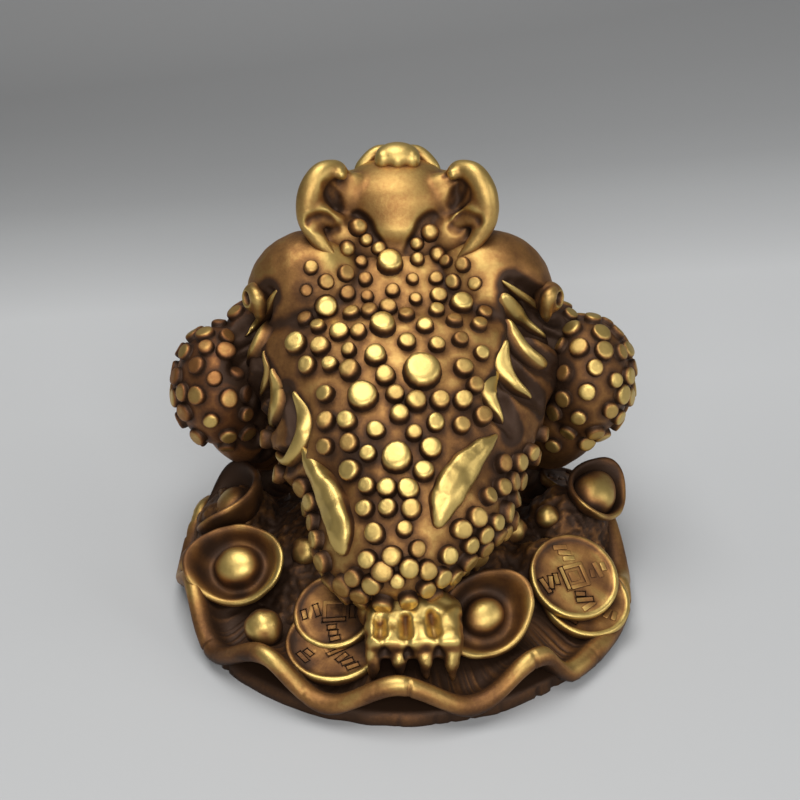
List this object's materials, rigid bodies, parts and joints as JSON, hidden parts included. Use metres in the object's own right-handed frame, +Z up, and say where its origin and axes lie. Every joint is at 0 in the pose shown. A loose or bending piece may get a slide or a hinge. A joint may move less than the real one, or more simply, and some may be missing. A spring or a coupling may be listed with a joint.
{
  "type": "money toad figure",
  "caption": "Cast brass money toad with one hind leg, sitting on coins, ingots and pearls in a wavy lotus leaf; stands on its flat base.",
  "frame": {"origin": "middle of the flat underside of the base", "axes": "+Z up out of the base, +Y the way the toad looks, +X to its right; the pictured side is its back, at -Y"},
  "size_m": [0.1035, 0.1, 0.093],
  "materials": {
    "brass": "antiqued: dark brown in the recesses, worn bright on the high points"
  },
  "bodies": {
    "root": {"money_toad": "brass"}
  },
  "joints": []
}
